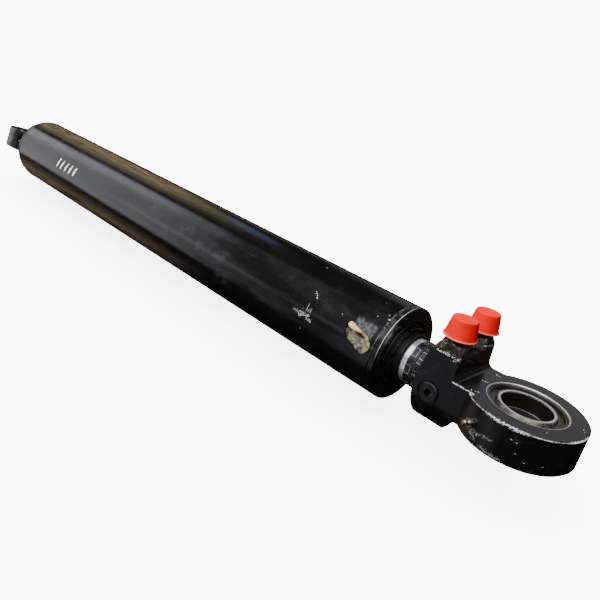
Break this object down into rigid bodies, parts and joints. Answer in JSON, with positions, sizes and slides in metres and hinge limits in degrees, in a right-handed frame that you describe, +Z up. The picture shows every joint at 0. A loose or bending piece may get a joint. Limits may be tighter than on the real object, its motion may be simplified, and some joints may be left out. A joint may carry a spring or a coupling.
{
  "type": "telescopic hydraulic cylinder",
  "caption": "Telescopic hydraulic cylinder, stored closed: black barrel, chromed rod with a ported end block, a bearing eye at either end and red plastic caps on the oil ports.",
  "frame": {"origin": "centre of the rear eye's pin bore, half way through the bearing", "axes": "+X along the cylinder from the rear eye to the rod eye, +Z up along the rod eye's bore and out of the oil ports, +Y to the side so the frame is right-handed"},
  "size_m": [1.1372, 0.1188, 0.1318],
  "materials": {
    "barrel_paint": "worn gloss black paint",
    "eye_paint": "worn gloss black paint",
    "gland_paint": "gloss black paint, edges rubbed to metal",
    "block_paint": "gloss black paint with chips",
    "plug_paint": "satin black paint",
    "weld_paint": "thin paint over a rough weld",
    "bearing_steel": "phosphated and oily",
    "spring_steel": "blued spring steel",
    "zinc_plate": "zinc plated",
    "black_oxide": "black oxide",
    "sealant": "cured cream sealing compound",
    "seal_rubber": "oiled nitrile rubber",
    "guide_plastic": "bronze-filled guide strip",
    "wiper_plastic": "polyurethane",
    "sleeve_chrome": "hard chrome",
    "rod_chrome": "hard chrome",
    "collar_steel": "dark phosphated steel, edges rubbed bright",
    "piston_iron": "machined cast iron",
    "tube_steel": "drawn steel",
    "nut_steel": "black paint rubbed off the corners",
    "stub_steel": "heat-stained steel with thin paint",
    "cap_plastic": "red polyethylene"
  },
  "bodies": {
    "barrel": {"barrel_tube": "barrel_paint", "rear_cap": "barrel_paint", "rear_cap_weld": "barrel_paint", "rear_eye": "eye_paint", "rear_eye_weld": "barrel_paint", "rear_bearing_outer": "bearing_steel", "rear_circlips": "spring_steel", "rear_grease_nipple": "zinc_plate", "head_gland": "gland_paint", "head_lock_screw": "black_oxide", "pocket_sealant": "sealant", "head_o_ring": "seal_rubber", "head_guide_ring": "guide_plastic", "head_seal": "seal_rubber", "head_wiper": "wiper_plastic"},
    "sleeve": {"sleeve_tube": "sleeve_chrome", "sleeve_piston": "piston_iron", "sleeve_piston_seal": "seal_rubber", "sleeve_piston_guides": "guide_plastic", "sleeve_gland": "collar_steel", "sleeve_o_ring": "seal_rubber", "sleeve_guide_ring": "guide_plastic", "sleeve_seal": "seal_rubber", "sleeve_wiper": "wiper_plastic"},
    "rod_assembly": {"rod": "rod_chrome", "feed_tube": "tube_steel", "rod_piston": "piston_iron", "rod_piston_seal": "seal_rubber", "rod_piston_guides": "guide_plastic", "piston_nut": "tube_steel", "rod_lock_nut": "nut_steel", "lock_washer": "nut_steel", "rod_end_block": "block_paint", "near_gallery_plug": "plug_paint", "far_gallery_plug": "plug_paint", "port_stubs": "stub_steel", "port_stub_welds": "weld_paint", "rod_bearing_outer": "bearing_steel", "rod_circlips": "spring_steel", "rod_grease_nipple": "zinc_plate"},
    "rear_bearing_ring": {"rear_bearing_inner": "bearing_steel"},
    "rod_bearing_ring": {"rod_bearing_inner": "bearing_steel"},
    "near_cap": {"near_port_cap": "cap_plastic"},
    "far_cap": {"far_port_cap": "cap_plastic"}
  },
  "joints": [
    {"name": "first_stage_slide", "type": "slide", "parent": "barrel", "child": "sleeve", "axis": [1, 0, 0], "range_m": [0, 0.69]},
    {"name": "second_stage_slide", "type": "slide", "parent": "sleeve", "child": "rod_assembly", "axis": [1, 0, 0], "range_m": [0, 0.69]},
    {"name": "rear_bearing_swivel", "type": "hinge", "parent": "barrel", "child": "rear_bearing_ring", "pos_m": [0, 0, 0], "axis": [0, 0.2079, 0.9781], "continuous": true},
    {"name": "rod_bearing_swivel", "type": "hinge", "parent": "rod_assembly", "child": "rod_bearing_ring", "pos_m": [1.034, 0, 0], "axis": [0, 0, 1], "continuous": true},
    {"name": "near_cap_lift", "type": "slide", "parent": "rod_assembly", "child": "near_cap", "axis": [0, 0, 1], "range_m": [0, 0.05]},
    {"name": "far_cap_lift", "type": "slide", "parent": "rod_assembly", "child": "far_cap", "axis": [0, 0, 1], "range_m": [0, 0.05]}
  ]
}
